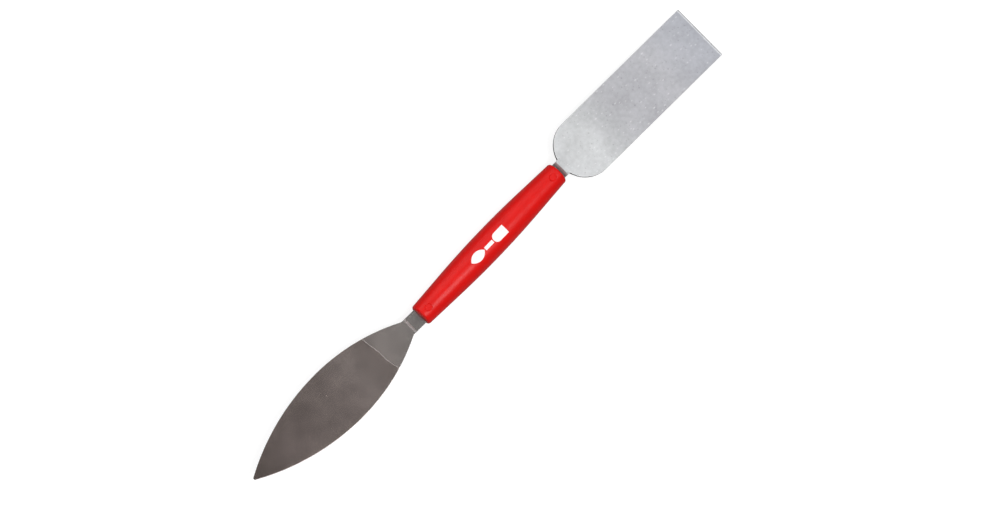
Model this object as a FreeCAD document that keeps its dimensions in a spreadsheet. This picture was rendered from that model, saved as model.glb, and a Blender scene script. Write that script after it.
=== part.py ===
"""Double-ended plasterer's small tool, a leaf and square, in millimetres.

Two stamped steel blades are held by their tangs in one plastic moulding. The tool lies as on a table:
+X runs along it towards the square blade, +Z is up, and the table is at Z = 0. The handle's belly and the
tip edge of the square blade touch the table. The origin is on the table, halfway along the tool.

Each blade is drawn in a frame of its own, at the centre of the handle's end face, with +X out of the
handle. Its height Z is counted from the handle's axis.
"""
import FreeCAD, Part
import os
import Sketcher

HORIZONTAL_AXIS = -1
VERTICAL_AXIS = -2
START, END, CENTRE = 1, 2, 3

# Driving dimensions: millimetres, and degrees where the note says so.
DIMENSIONS = {
    "handle_length": (90.0, "between the handle's end faces"),
    "handle_diameter": (14.2, "at the handle's middle"),
    "belly_length": (50.0, "middle stretch of the handle with an arched outline"),
    "handle_taper": (3.1, "degrees, slope of the straight ends of the handle's outline"),
    "handle_end_rounding": (1.1, "radius round each end face"),
    "mark_diameter": (3.4, "round moulding mark"),
    "mark_inset": (4.3, "end face to the moulding mark's centre"),
    "mark_depth": (0.45, "moulding mark's floor below the handle's crest"),
    "steel_thickness": (2.2, "strip that both blades are stamped from"),
    "tang_cover": (1.2, "plastic over the tang's corners at the handle's end"),
    "tang_length": (32.0, "inside the handle"),
    "anchor_hole_diameter": (3.6, "hole in the tang that the plastic fills"),
    "anchor_hole_inset": (8.0, "tang's inner end to the hole's centre"),
    "leaf_length": (105.0, "handle to the leaf's tip"),
    "leaf_width": (28.3, "at its widest"),
    "leaf_front": (53.4, "widest place to the tip"),
    "leaf_neck": (7.6, "handle to the start of the shoulder"),
    "leaf_shoulder_radius": (4.0, "hollow corner between neck and leaf"),
    "leaf_tip_radius": (0.8, "blunt point"),
    "leaf_step_start": (6.3, "handle to the small step"),
    "leaf_step_height": (1.2, "leaf above its neck"),
    "leaf_step_slope": (55.0, "degrees from flat"),
    "leaf_grind_start": (25.4, "handle to where the ground front begins"),
    "leaf_grind_drop": (0.5, "how much lower the ground face is at the tip"),
    "leaf_tip_thickness": (0.7, "steel left at the tip"),
    "leaf_set_angle": (1.78, "degrees, leaf turned clockwise as seen from above"),
    "square_length": (92.6, "handle to the square tip"),
    "square_width": (28.0, "between the parallel sides"),
    "square_neck": (2.6, "handle to the half-round root"),
    "square_step_start": (0.9, "handle to the raised step"),
    "square_step_height": (2.3, "root of the blade above its neck"),
    "square_step_slope": (66.0, "degrees from flat"),
    "square_tip_thickness": (0.9, "steel left at the tip"),
    "square_bevel_length": (0.9, "bevel along the tip's upper edge"),
    "square_bevel_depth": (0.45, "how deep that bevel cuts"),
    "square_set_angle": (1.67, "degrees, square turned clockwise as seen from above"),
    "step_inner_radius": (0.5, "hollow bends of both steps"),
    "step_outer_radius": (0.6, "rounded bends of both steps"),
}

# Worked out from the driving dimensions.
WORKED_OUT = {
    "half_handle": "dims.handle_length / 2",
    "axis_height": "dims.handle_diameter / 2",
    "half_belly": "dims.belly_length / 2",
    "belly_arc_radius": "half_belly / sin(dims.handle_taper)",
    "belly_end_radius": "axis_height - half_belly * tan(dims.handle_taper / 2)",
    "end_radius": "belly_end_radius - (half_handle - half_belly) * tan(dims.handle_taper)",
    "mark_floor": "end_radius + dims.mark_inset * tan(dims.handle_taper) - dims.mark_depth",
    "handle_centre": "(dims.leaf_length - dims.square_length) / 2",
    "half_steel": "dims.steel_thickness / 2",
    "half_neck": "sqrt((end_radius - dims.tang_cover)^2 - half_steel^2)",
    "blank_height": "2 * dims.handle_diameter",
    "leaf_half_width": "dims.leaf_width / 2",
    "leaf_widest": "dims.leaf_length - dims.leaf_front",
    "leaf_step_end": "dims.leaf_step_start + dims.leaf_step_height / tan(dims.leaf_step_slope)",
    "leaf_under_start": "dims.leaf_step_start + dims.steel_thickness * tan(dims.leaf_step_slope / 2)",
    "leaf_under_end": "leaf_under_start + leaf_step_end - dims.leaf_step_start",
    "leaf_face": "half_steel + dims.leaf_step_height",
    "leaf_tip_face": "leaf_face - dims.leaf_grind_drop",
    "square_half_width": "dims.square_width / 2",
    "square_root_centre": "dims.square_neck + square_half_width",
    "square_root_start": "square_root_centre - sqrt(square_half_width^2 - half_neck^2)",
    "square_step_end": "dims.square_step_start + dims.square_step_height / tan(dims.square_step_slope)",
    "square_under_start":
        "dims.square_step_start + dims.steel_thickness * tan(dims.square_step_slope / 2)",
    "square_under_end": "square_under_start + square_step_end - dims.square_step_start",
    "square_face": "half_steel + dims.square_step_height",
    "square_tip_face": "dims.square_tip_thickness - axis_height",
}

doc = FreeCAD.newDocument("leaf_and_square")


def fill_sheet(name, rows):
    """Makes a sheet with one named value a row: name, value or formula, note."""
    sheet = doc.addObject("Spreadsheet::Sheet", name)
    for row, (alias, content, note) in enumerate(rows, start=1):
        sheet.set(f"A{row}", alias)
        sheet.set(f"B{row}", content)
        sheet.set(f"C{row}", note)
        sheet.setAlias(f"B{row}", alias)
    doc.recompute()
    return sheet


dims = fill_sheet("dims", [(key, str(value), note) for key, (value, note) in DIMENSIONS.items()])
worked = fill_sheet("worked", [(key, "=" + formula, "worked out") for key, formula in WORKED_OUT.items()])


def number(expression):
    """The value that an expression has now."""
    value = worked.evalExpression(expression)
    return float(getattr(value, "Value", value))


def plane_of(body, role):
    """One of the body's own origin planes."""
    return next(item for item in body.Origin.OriginFeatures if item.Role == role)


def new_sketch(body, name, role):
    sketch = body.newObject("Sketcher::SketchObject", name)
    sketch.AttachmentSupport = [(plane_of(body, role), "")]
    sketch.MapMode = "FlatFace"
    return sketch


def size(sketch, kind, *where, by):
    """Adds a dimension to the sketch and binds it to the expression."""
    index = sketch.addConstraint(Sketcher.Constraint(kind, *where, number(by)))
    sketch.setExpression(f"Constraints[{index}]", by)


def place(sketch, geometry, point, along, across):
    """Puts one point of a sketch element at two expressions, or on an axis where one is "0"."""
    for kind, by, axis in (("DistanceX", along, VERTICAL_AXIS), ("DistanceY", across, HORIZONTAL_AXIS)):
        if by == "0":
            sketch.addConstraint(Sketcher.Constraint("PointOnObject", geometry, point, axis))
        else:
            size(sketch, kind, geometry, point, by=by)


def at(along, across):
    return FreeCAD.Vector(number(along), number(across), 0)


def line(sketch, start, end):
    return sketch.addGeometry(Part.LineSegment(start, end))


def arc(sketch, start, middle, end):
    """An arc anticlockwise through three points."""
    return sketch.addGeometry(Part.Arc(start, middle, end))


def polygon(sketch, corners):
    """A closed outline of straight lines whose corners are pairs of expressions."""
    points = [at(*corner) for corner in corners]
    sides = [line(sketch, *pair) for pair in zip(points, points[1:] + points[:1])]
    for side, following in zip(sides, sides[1:] + sides[:1]):
        join(sketch, side, END, following, START)
    for side, corner in zip(sides, corners):
        place(sketch, side, START, *corner)


def join(sketch, first, first_point, second, second_point, kind="Coincident"):
    """Joins two ends, as a corner or, with the kind Tangent, smoothly."""
    sketch.addConstraint(Sketcher.Constraint(kind, first, first_point, second, second_point))


def finish_feature(feature, body, cuts=False):
    """Recomputes, and stops if a cutting feature took nothing away."""
    before = body.Shape.Volume if cuts else 0
    doc.recompute()
    if cuts and not feature.Shape.Volume < before - 0.01:
        raise RuntimeError(f"{feature.Name} cut nothing")
    body.Tip = feature
    return feature


def pad_both_ways(body, sketch, height):
    pad = body.newObject("PartDesign::Pad", body.Name + "_blank")
    pad.Profile = sketch
    pad.Midplane = True
    pad.setExpression("Length", height)
    return finish_feature(pad, body)


def pocket_through(body, sketch, name, both_ways=True):
    pocket = body.newObject("PartDesign::Pocket", name)
    pocket.Profile = sketch
    pocket.Type = "ThroughAll"
    pocket.Midplane = both_ways
    pocket.Reversed = not both_ways
    return finish_feature(pocket, body, cuts=True)


def fillet(body, base, name, radius, wanted):
    """Rounds the edges for which wanted(edge) is true."""
    edges = [f"Edge{n}" for n, edge in enumerate(base.Shape.Edges, start=1) if wanted(edge)]
    if not edges:
        raise RuntimeError(f"{name} found no edge")
    rounding = body.newObject("PartDesign::Fillet", name)
    rounding.Base = (base, edges)
    rounding.setExpression("Radius", radius)
    return finish_feature(rounding, body)


def crosses(along, height):
    """True for a straight edge across the blade, at that distance along it and that height."""
    def check(edge):
        near = FreeCAD.Vector(number(along), edge.CenterOfMass.y, number(height))
        return edge.CenterOfMass.distanceToPoint(near) < 0.01 and edge.BoundBox.XLength < 0.01
    return check


def handle_moulding():
    """The plastic handle before the tangs take their room: a turned barrel, a round mark near each end."""
    body = doc.addObject("PartDesign::Body", "handle_moulding")
    outline = new_sketch(body, "handle_outline", "XZ_Plane")
    corners = [("-worked.half_handle", "0"), ("-worked.half_handle", "worked.end_radius"),
               ("-worked.half_belly", "worked.belly_end_radius"),
               ("worked.half_belly", "worked.belly_end_radius"),
               ("worked.half_handle", "worked.end_radius"), ("worked.half_handle", "0")]
    points = [at(*corner) for corner in corners]
    leaf_end = line(outline, points[0], points[1])
    leaf_taper = line(outline, points[1], points[2])
    belly = arc(outline, points[3], at("0", "worked.axis_height"), points[2])
    square_taper = line(outline, points[3], points[4])
    square_end = line(outline, points[4], points[5])
    turning_line = line(outline, points[5], points[0])
    join(outline, leaf_end, END, leaf_taper, START)
    join(outline, leaf_taper, END, belly, END)
    join(outline, belly, START, square_taper, START)
    join(outline, square_taper, END, square_end, START)
    join(outline, square_end, END, turning_line, START)
    join(outline, turning_line, END, leaf_end, START)
    starts = {leaf_end: 0, leaf_taper: 1, square_taper: 3, square_end: 4, turning_line: 5}
    for side, corner in starts.items():
        place(outline, side, START, *corners[corner])
    place(outline, belly, END, *corners[2])
    size(outline, "Radius", belly, by="worked.belly_arc_radius")
    barrel = body.newObject("PartDesign::Revolution", "handle_barrel")
    barrel.Profile = outline
    barrel.ReferenceAxis = (outline, ["H_Axis"])
    barrel.Angle = 360
    finish_feature(barrel, body)

    def end_circle(edge):
        return (edge.BoundBox.XLength < 0.01
                and abs(abs(edge.BoundBox.Center.x) - number("worked.half_handle")) < 0.01)
    fillet(body, barrel, "handle_end_rounding", "dims.handle_end_rounding", end_circle)

    marks = new_sketch(body, "moulding_marks", "XY_Plane")
    marks.setExpression("AttachmentOffset.Base.z", "worked.mark_floor")
    for side in ("-", ""):
        along = f"{side}(worked.half_handle - dims.mark_inset)"
        ring = marks.addGeometry(Part.Circle(at(along, "0"), FreeCAD.Vector(0, 0, 1),
                                             number("dims.mark_diameter") / 2))
        place(marks, ring, CENTRE, along, "0")
        size(marks, "Diameter", ring, by="dims.mark_diameter")
    pocket_through(body, marks, "mark_recess", both_ways=False)
    body.setExpression("Placement.Base.x", "worked.handle_centre")
    body.setExpression("Placement.Base.z", "worked.axis_height")
    return body


def half_square_outline(sketch):
    """One half of the square blade seen from above, closed along its centre line."""
    neck_edge = line(sketch, at("-dims.tang_length", "worked.half_neck"),
                     at("worked.square_root_start", "worked.half_neck"))
    root_side = at("worked.square_root_centre", "worked.square_half_width")
    slant = FreeCAD.Vector(-1, 1, 0).normalize() * number("worked.square_half_width")
    root = arc(sketch, root_side, at("worked.square_root_centre", "0") + slant,
               at("worked.square_root_start", "worked.half_neck"))
    side = line(sketch, root_side, at("dims.square_length", "worked.square_half_width"))
    tip = line(sketch, at("dims.square_length", "worked.square_half_width"), at("dims.square_length", "0"))
    centre_line = line(sketch, at("dims.square_length", "0"), at("-dims.tang_length", "0"))
    tang_end = line(sketch, at("-dims.tang_length", "0"), at("-dims.tang_length", "worked.half_neck"))
    join(sketch, neck_edge, END, root, END)
    join(sketch, root, START, side, START, "Tangent")
    join(sketch, side, END, tip, START)
    join(sketch, tip, END, centre_line, START)
    join(sketch, centre_line, END, tang_end, START)
    join(sketch, tang_end, END, neck_edge, START)
    place(sketch, root, CENTRE, "worked.square_root_centre", "0")
    place(sketch, neck_edge, START, "-dims.tang_length", "worked.half_neck")
    place(sketch, side, END, "dims.square_length", "worked.square_half_width")
    place(sketch, tang_end, START, "-dims.tang_length", "0")
    place(sketch, centre_line, START, "dims.square_length", "0")
    for level in (neck_edge, side):
        sketch.addConstraint(Sketcher.Constraint("Horizontal", level))


def half_leaf_outline(sketch):
    """One half of the leaf seen from above: neck, hollow shoulder, rear arc, front arc and blunt tip."""
    widest = at("worked.leaf_widest", "worked.leaf_half_width")
    shoulder_start = at("dims.leaf_neck", "worked.half_neck")
    shoulder_end = shoulder_start + FreeCAD.Vector(number("dims.leaf_shoulder_radius") / 2, 0.5, 0)
    tip_centre = at("dims.leaf_length - dims.leaf_tip_radius", "0")
    tip_start = tip_centre + FreeCAD.Vector(0.5, 0.85, 0) * number("dims.leaf_tip_radius")
    neck_edge = line(sketch, at("-dims.tang_length", "worked.half_neck"), shoulder_start)
    shoulder = arc(sketch, shoulder_start, shoulder_start * 0.5 + shoulder_end * 0.5
                   - FreeCAD.Vector(0, 0.1, 0), shoulder_end)
    bulge = FreeCAD.Vector(0, number("worked.leaf_half_width") / 5, 0)
    rear = arc(sketch, widest, (widest + shoulder_end) * 0.5 + bulge, shoulder_end)
    front = arc(sketch, tip_start, (widest + tip_start) * 0.5 + bulge, widest)
    tip = arc(sketch, at("dims.leaf_length", "0"), tip_centre + FreeCAD.Vector(0.86, 0.5, 0)
              * number("dims.leaf_tip_radius"), tip_start)
    centre_line = line(sketch, at("dims.leaf_length", "0"), at("-dims.tang_length", "0"))
    tang_end = line(sketch, at("-dims.tang_length", "0"), at("-dims.tang_length", "worked.half_neck"))
    place(sketch, neck_edge, START, "-dims.tang_length", "worked.half_neck")
    place(sketch, neck_edge, END, "dims.leaf_neck", "worked.half_neck")
    place(sketch, tang_end, START, "-dims.tang_length", "0")
    join(sketch, tang_end, END, neck_edge, START)
    join(sketch, centre_line, END, tang_end, START)
    join(sketch, neck_edge, END, shoulder, START, "Tangent")
    size(sketch, "Radius", shoulder, by="dims.leaf_shoulder_radius")
    place(sketch, rear, START, "worked.leaf_widest", "worked.leaf_half_width")
    join(sketch, rear, START, front, END, "Tangent")
    size(sketch, "DistanceX", rear, CENTRE, by="worked.leaf_widest")
    join(sketch, shoulder, END, rear, END, "Tangent")
    place(sketch, tip, CENTRE, "dims.leaf_length - dims.leaf_tip_radius", "0")
    size(sketch, "Radius", tip, by="dims.leaf_tip_radius")
    join(sketch, tip, END, front, START, "Tangent")
    join(sketch, tip, START, centre_line, START)
    sketch.addConstraint(Sketcher.Constraint("PointOnObject", centre_line, START, HORIZONTAL_AXIS))


def stamped_blade(name, half_outline, side_view, bends, angle, turned):
    """A blade stamped from strip: outline, then side view, then rounded bends and the anchor hole."""
    body = doc.addObject("PartDesign::Body", name)
    outline = new_sketch(body, name + "_outline", "XY_Plane")
    half_outline(outline)
    blank = pad_both_ways(body, outline, "worked.blank_height")
    mirror = body.newObject("PartDesign::Mirrored", name + "_other_half")
    mirror.Originals = [blank]
    mirror.MirrorPlane = (plane_of(body, "XZ_Plane"), [""])
    finish_feature(mirror, body)

    waste = new_sketch(body, name + "_side_view", "XZ_Plane")
    reach = "(dims.handle_length + dims.leaf_length + dims.square_length)"
    polygon(waste, [(f"-{reach}", f"-{reach}"), (reach, f"-{reach}"), (reach, reach), (f"-{reach}", reach)])
    polygon(waste, side_view)
    formed = pocket_through(body, waste, name + "_formed")
    for end, (radius, places) in bends.items():
        formed = fillet(body, formed, f"{name}_{end}_bends", radius,
                        lambda edge: any(crosses(*spot)(edge) for spot in places))

    hole = new_sketch(body, name + "_anchor", "XY_Plane")
    along = "dims.anchor_hole_inset - dims.tang_length"
    ring = hole.addGeometry(Part.Circle(at(along, "0"), FreeCAD.Vector(0, 0, 1),
                                        number("dims.anchor_hole_diameter") / 2))
    place(hole, ring, CENTRE, along, "0")
    size(hole, "Diameter", ring, by="dims.anchor_hole_diameter")
    pocket_through(body, hole, name + "_anchor_hole")

    body.Placement = FreeCAD.Placement(FreeCAD.Vector(), FreeCAD.Rotation(FreeCAD.Vector(0, 0, 1), 1))
    side = "-" if turned else "+"
    body.setExpression("Placement.Base.x", f"worked.handle_centre {side} worked.half_handle")
    body.setExpression("Placement.Base.z", "worked.axis_height")
    body.setExpression("Placement.Rotation.Angle", f"{180 if turned else 0} - {angle}")
    return body


def leaf_blade():
    side_view = [
        ("-dims.tang_length", "-worked.half_steel"),
        ("worked.leaf_under_start", "-worked.half_steel"),
        ("worked.leaf_under_end", "worked.leaf_face - dims.steel_thickness"),
        ("dims.leaf_length", "worked.leaf_tip_face - dims.leaf_tip_thickness"),
        ("dims.leaf_length", "worked.leaf_tip_face"),
        ("dims.leaf_grind_start", "worked.leaf_face"),
        ("worked.leaf_step_end", "worked.leaf_face"),
        ("dims.leaf_step_start", "worked.half_steel"),
        ("-dims.tang_length", "worked.half_steel"),
    ]
    bends = {"hollow": ("dims.step_inner_radius", [side_view[7], side_view[2]]),
             "outer": ("dims.step_outer_radius", [side_view[6], side_view[1]])}
    return stamped_blade("leaf_blade", half_leaf_outline, side_view, bends,
                         "dims.leaf_set_angle", turned=True)


def square_blade():
    side_view = [
        ("-dims.tang_length", "-worked.half_steel"),
        ("worked.square_under_start", "-worked.half_steel"),
        ("worked.square_under_end", "worked.square_face - dims.steel_thickness"),
        ("dims.square_length", "-worked.axis_height"),
        ("dims.square_length", "worked.square_tip_face - dims.square_bevel_depth"),
        ("dims.square_length - dims.square_bevel_length", "worked.square_tip_face"),
        ("worked.square_step_end", "worked.square_face"),
        ("dims.square_step_start", "worked.half_steel"),
        ("-dims.tang_length", "worked.half_steel"),
    ]
    bends = {"hollow": ("dims.step_inner_radius", [side_view[7], side_view[2]]),
             "outer": ("dims.step_outer_radius", [side_view[6], side_view[1]])}
    return stamped_blade("square_blade", half_square_outline, side_view, bends,
                         "dims.square_set_angle", turned=False)


def handle_around(blades):
    """The finished handle: the moulding less the room that each tang fills, plastic in the anchor holes."""
    grip = handle_moulding()
    for blade in blades:
        room = doc.addObject("Part::Cut", f"handle_round_{blade.Name}")
        room.Base = grip
        room.Tool = blade
        grip = room
    return grip


def write_parts(parts):
    """Checks every object of the document and each part, then writes the parts."""
    doc.recompute()
    for item in doc.Objects:
        if "Invalid" in item.State or "Error" in item.State:
            raise RuntimeError(f"{item.Name} failed: {item.State}")
    for name, part in parts.items():
        part.Label = name
        if part.Shape.isNull() or not part.Shape.isValid() or len(part.Shape.Solids) != 1:
            raise RuntimeError(f"{name} isn't one valid solid")
    os.makedirs("parts", exist_ok=True)
    for name, part in parts.items():
        part.Shape.exportStep(f"parts/{name}.step")
        print(name, "volume", round(part.Shape.Volume, 1), "mm3, box", part.Shape.BoundBox)


leaf = leaf_blade()
square = square_blade()
write_parts({"handle_grip": handle_around([leaf, square]), "leaf_blade": leaf, "square_blade": square})
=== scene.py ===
"""The finished look of a plasterer's leaf and square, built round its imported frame, in metres.

The red moulding is turned and cut, and each blade is cut from an outline seen from above and a side view.
A blade is made in a frame of its own, at the centre of the handle's end face: X runs out of the handle,
and Z is counted from the handle's axis. Then it is set in its place.
"""
import math
import random

import bmesh
import bpy
from mathutils import Matrix, Vector


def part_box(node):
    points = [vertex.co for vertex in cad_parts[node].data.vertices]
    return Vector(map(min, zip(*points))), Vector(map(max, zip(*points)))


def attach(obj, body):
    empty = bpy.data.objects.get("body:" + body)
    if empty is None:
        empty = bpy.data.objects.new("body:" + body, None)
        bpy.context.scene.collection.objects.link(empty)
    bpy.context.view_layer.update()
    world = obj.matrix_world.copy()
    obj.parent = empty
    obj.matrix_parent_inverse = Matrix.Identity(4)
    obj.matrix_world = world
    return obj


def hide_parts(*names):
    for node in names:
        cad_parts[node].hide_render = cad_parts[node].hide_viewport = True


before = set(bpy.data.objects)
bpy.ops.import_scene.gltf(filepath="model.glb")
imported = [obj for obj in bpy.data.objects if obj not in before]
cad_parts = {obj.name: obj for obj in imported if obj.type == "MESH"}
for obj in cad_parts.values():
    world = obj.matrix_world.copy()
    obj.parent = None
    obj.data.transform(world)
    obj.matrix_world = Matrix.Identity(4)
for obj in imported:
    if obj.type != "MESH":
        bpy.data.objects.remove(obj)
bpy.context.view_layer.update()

MM = 0.001
RIGHT_ANGLE = math.pi / 2
SAME_PLACE = 0.002 * MM
WELD = 0.001 * MM
TURNING_STEPS = 96
DRILL_SIDES = 48
BEND_SEGMENTS = 6
SMOOTH_BELOW = math.radians(40)

# From the frame: where the handle lies.
handle_low, handle_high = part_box("handle_grip")
HANDLE_LENGTH = handle_high.x - handle_low.x
HANDLE_RADIUS = (handle_high.z - handle_low.z) / 2
HANDLE_CENTRE = Vector(((handle_low.x + handle_high.x) / 2, 0, handle_low.z + HANDLE_RADIUS))

# Handle.
INK_THICKNESS = 0.03 * MM
BARREL_RADIUS = HANDLE_RADIUS - INK_THICKNESS
BELLY_HALF = 25 * MM
TAPER = math.radians(3.1)
END_ROUNDING = 1.1 * MM
MARK_RADIUS = 1.7 * MM
MARK_INSET = 4.3 * MM
MARK_DEPTH = 0.45 * MM
PARTING_RIDGE = 0.04 * MM
PARTING_WIDTH = 0.22 * MM
SOCKET_CLEARANCE = 0.06 * MM
MARK_WALL_SPREAD = 0.8
HANDLE_EDGE_ROUNDING = 0.1 * MM
HANDLE_SHARP_FROM = math.radians(28)

# Printed pictogram, with places along the handle counted from the ink's own centre.
INK_CENTRE = Vector((-2.2, -0.35, 0)) * MM
INK_HALF_WIDTH = 2.3 * MM
INK_LEAF_ENDS = (-11 * MM, -2.6 * MM)
INK_BAR_ENDS = (-2.1 * MM, 2.9 * MM)
INK_BAR_HALF_WIDTH = 0.85 * MM
INK_SQUARE_ENDS = (3.4 * MM, 11 * MM)
INK_SHARE_ABOVE = 0.9
INK_SHARE_BELOW = 0.3

# Both blades.
STEEL = 2.2 * MM
TANG_COVER = 1.2 * MM
TANG_LENGTH = 32 * MM
ANCHOR_RADIUS = 1.8 * MM
ANCHOR_INSET = 8 * MM
BEND_INSIDE = 0.5 * MM
BEND_OUTSIDE = 0.6 * MM
EDGE_ROUNDING = 0.12 * MM
BLADE_SHARP_FROM = math.radians(30)
STEEP = 0.8
FLAT = 0.99

# Leaf.
TIP_MARGIN = 0.001 * MM  # keeps the leaf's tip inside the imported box
LEAF_LENGTH = 105 * MM - TIP_MARGIN
LEAF_WIDTH = 28.3 * MM
LEAF_WIDEST = 51.6 * MM
LEAF_NECK = 7.6 * MM
LEAF_SHOULDER_RADIUS = 4 * MM
LEAF_TIP_RADIUS = 0.8 * MM
LEAF_STEP_START = 6.3 * MM
LEAF_STEP_HEIGHT = 1.2 * MM
LEAF_STEP_SLOPE = math.radians(55)
LEAF_GROUND_FROM = 25.3 * MM
LEAF_GROUND_LEDGE = 0.07 * MM
LEAF_GROUND_DROP = 0.5 * MM
GRIND_SKEW = 0.11
GRIND_WAVE_HEIGHT = 0.2 * MM
GRIND_WAVE_LENGTH = 1.9 * MM
GRIND_RAGGED = 0.18
LEAF_TIP_THICKNESS = 0.7 * MM
LEAF_TURN = math.radians(180 - 1.78)

# Square.
SQUARE_LENGTH = 92.6 * MM
SQUARE_HALF_WIDTH = 14 * MM
SQUARE_NECK = 2.6 * MM
SQUARE_STEP_START = 0.9 * MM
SQUARE_STEP_HEIGHT = 2.3 * MM
SQUARE_STEP_SLOPE = math.radians(66)
SQUARE_TIP_THICKNESS = 0.9 * MM
SQUARE_BEVEL_LENGTH = 0.9 * MM
SQUARE_BEVEL_DEPTH = 0.45 * MM
SQUARE_TURN = math.radians(-1.67)

# Studio and camera.
FLOOR_SIZE = 20
FLOOR_GLOW = 0.8
LIGHT_DISTANCE = 1.3
VIEW_WIDTH = 442.5 * MM
CAMERA_PITCH = math.radians(12)
CAMERA_ROLL = math.radians(46.3)
CAMERA_DISTANCE = 6.0

# Worked out from those.
HALF_LENGTH = HANDLE_LENGTH / 2
BELLY_END_RADIUS = BARREL_RADIUS - BELLY_HALF * math.tan(TAPER / 2)
END_RADIUS = BELLY_END_RADIUS - (HALF_LENGTH - BELLY_HALF) * math.tan(TAPER)
BELLY_ARC_RADIUS = BELLY_HALF / math.sin(TAPER)
HALF_STEEL = STEEL / 2
HALF_NECK = math.sqrt((END_RADIUS - TANG_COVER) ** 2 - HALF_STEEL ** 2)
TALL = 4 * HANDLE_RADIUS
LEAF_ROOT = HANDLE_CENTRE - Vector((HALF_LENGTH, 0, 0))
LEAF_PLACE = Matrix.Translation(LEAF_ROOT) @ Matrix.Rotation(LEAF_TURN, 4, "Z")
SQUARE_ROOT = HANDLE_CENTRE + Vector((HALF_LENGTH, 0, 0))
SQUARE_PLACE = Matrix.Translation(SQUARE_ROOT) @ Matrix.Rotation(SQUARE_TURN, 4, "Z")


# ---------------------------------------------------------------- drawing and cutting

def leave_edit_mode():
    """Ends editing and deselects everything, so that the next operator acts on new work only."""
    if bpy.context.mode != "OBJECT":
        bpy.ops.object.mode_set(mode="OBJECT")
    bpy.ops.object.select_all(action="DESELECT")


def start_piece(name):
    """An empty mesh object at the origin, in edit mode."""
    leave_edit_mode()
    bpy.ops.object.add(type="MESH")
    piece = bpy.context.object
    piece.name = name
    piece.data.name = name
    bpy.ops.object.mode_set(mode="EDIT")
    return piece


def edit(piece):
    """Opens one piece for editing."""
    leave_edit_mode()
    bpy.context.view_layer.objects.active = piece
    piece.select_set(True)
    bpy.ops.object.mode_set(mode="EDIT")


def pick(kind, wanted):
    """Selects only the vertices, edges or faces of the edited piece for which wanted(element) is true."""
    bpy.ops.mesh.select_mode(type=kind)
    bpy.ops.mesh.select_all(action="DESELECT")
    data = bpy.context.object.data
    mesh = bmesh.from_edit_mesh(data)
    elements = {"VERT": mesh.verts, "EDGE": mesh.edges, "FACE": mesh.faces}[kind]
    found = [element for element in elements if wanted(element)]
    for element in found:
        element.select_set(True)
    mesh.select_flush_mode()
    bmesh.update_edit_mesh(data)
    if not found:
        raise RuntimeError(f"nothing to select on {bpy.context.object.name}")


def near(value, target):
    """Whether two lengths are the same, but for rounding."""
    return abs(value - target) < SAME_PLACE


def draw(start, moves):
    """Draws an open line: a move is a point to go straight to, or a centre and an angle to swing through.

    The angle is anticlockwise as seen against the axis.
    """
    bpy.ops.mesh.select_mode(type="VERT")
    bpy.ops.mesh.primitive_plane_add(size=MM, location=start)
    bpy.ops.mesh.merge(type="CENTER")
    at = Vector(start)
    for move in moves:
        if isinstance(move, Vector):
            bpy.ops.mesh.extrude_vertices_move(TRANSFORM_OT_translate={"value": move - at})
            at = move
        else:
            centre, angle, axis, steps = move
            bpy.ops.mesh.spin(steps=steps, angle=-angle, center=centre, axis=axis)
            at = centre + Matrix.Rotation(angle, 3, axis) @ (at - centre)


def fill_outline():
    """Closes the drawn line with a flat face, whose normal then follows the others."""
    bpy.ops.mesh.select_all(action="SELECT")
    bpy.ops.mesh.edge_face_add()


def thicken_face(offset):
    """Extrudes the selected face into a solid block."""
    bpy.ops.mesh.extrude_region_move(TRANSFORM_OT_translate={"value": offset})
    bpy.ops.mesh.select_all(action="SELECT")
    bpy.ops.mesh.normals_make_consistent(inside=False)


def apply_modifier(piece, kind, **settings):
    """Adds one modifier to the piece and applies it."""
    leave_edit_mode()
    bpy.context.view_layer.objects.active = piece
    piece.select_set(True)
    modifier = piece.modifiers.new(kind.title(), kind)
    for key, value in settings.items():
        setattr(modifier, key, value)
    bpy.ops.object.modifier_apply(modifier=modifier.name)


def combine(piece, tool, operation):
    """Cuts the tool out of the piece, or keeps what they share, and throws the tool away."""
    apply_modifier(piece, "BOOLEAN", object=tool, operation=operation, solver="EXACT",
                   material_mode="TRANSFER")
    bpy.data.objects.remove(tool)


def half_outline_block(name, start, moves, low, high):
    """A block whose outline is drawn on one side of the X axis and mirrored to the other."""
    piece = start_piece(name)
    draw(start, moves)
    apply_modifier(piece, "MIRROR", use_axis=(False, True, False), merge_threshold=WELD)
    edit(piece)
    fill_outline()
    bpy.ops.transform.translate(value=(0, 0, low))
    thicken_face((0, 0, high - low))
    leave_edit_mode()
    return piece


def side_block(name, corners, bends):
    """A wide block with the blade's side view, whose crosswise edges at the bends are rounded."""
    piece = start_piece(name)
    points = [Vector((along, -TALL, height)) for along, height in corners]
    draw(points[0], points[1:])
    fill_outline()
    thicken_face((0, 2 * TALL, 0))
    for (along, height), offset in bends:
        pick("EDGE", lambda edge: all(near(v.co.x, along) and near(v.co.z, height) for v in edge.verts))
        bpy.ops.mesh.bevel(offset=offset, segments=BEND_SEGMENTS, affect="EDGES")
    leave_edit_mode()
    return piece


def anchor_cutter():
    """Drills the hole that the plastic fills."""
    piece = start_piece("anchor_cutter")
    bpy.ops.mesh.primitive_cylinder_add(vertices=DRILL_SIDES, radius=ANCHOR_RADIUS, depth=TALL,
                                        location=(ANCHOR_INSET - TANG_LENGTH, 0, 0))
    leave_edit_mode()
    return piece


def set_in_place(piece, place):
    """Puts a piece that was made in a blade's own frame where the blade sits, in its mesh."""
    leave_edit_mode()
    piece.matrix_world = place
    bpy.context.view_layer.objects.active = piece
    piece.select_set(True)
    bpy.ops.object.transform_apply(location=True, rotation=True, scale=True)


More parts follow.
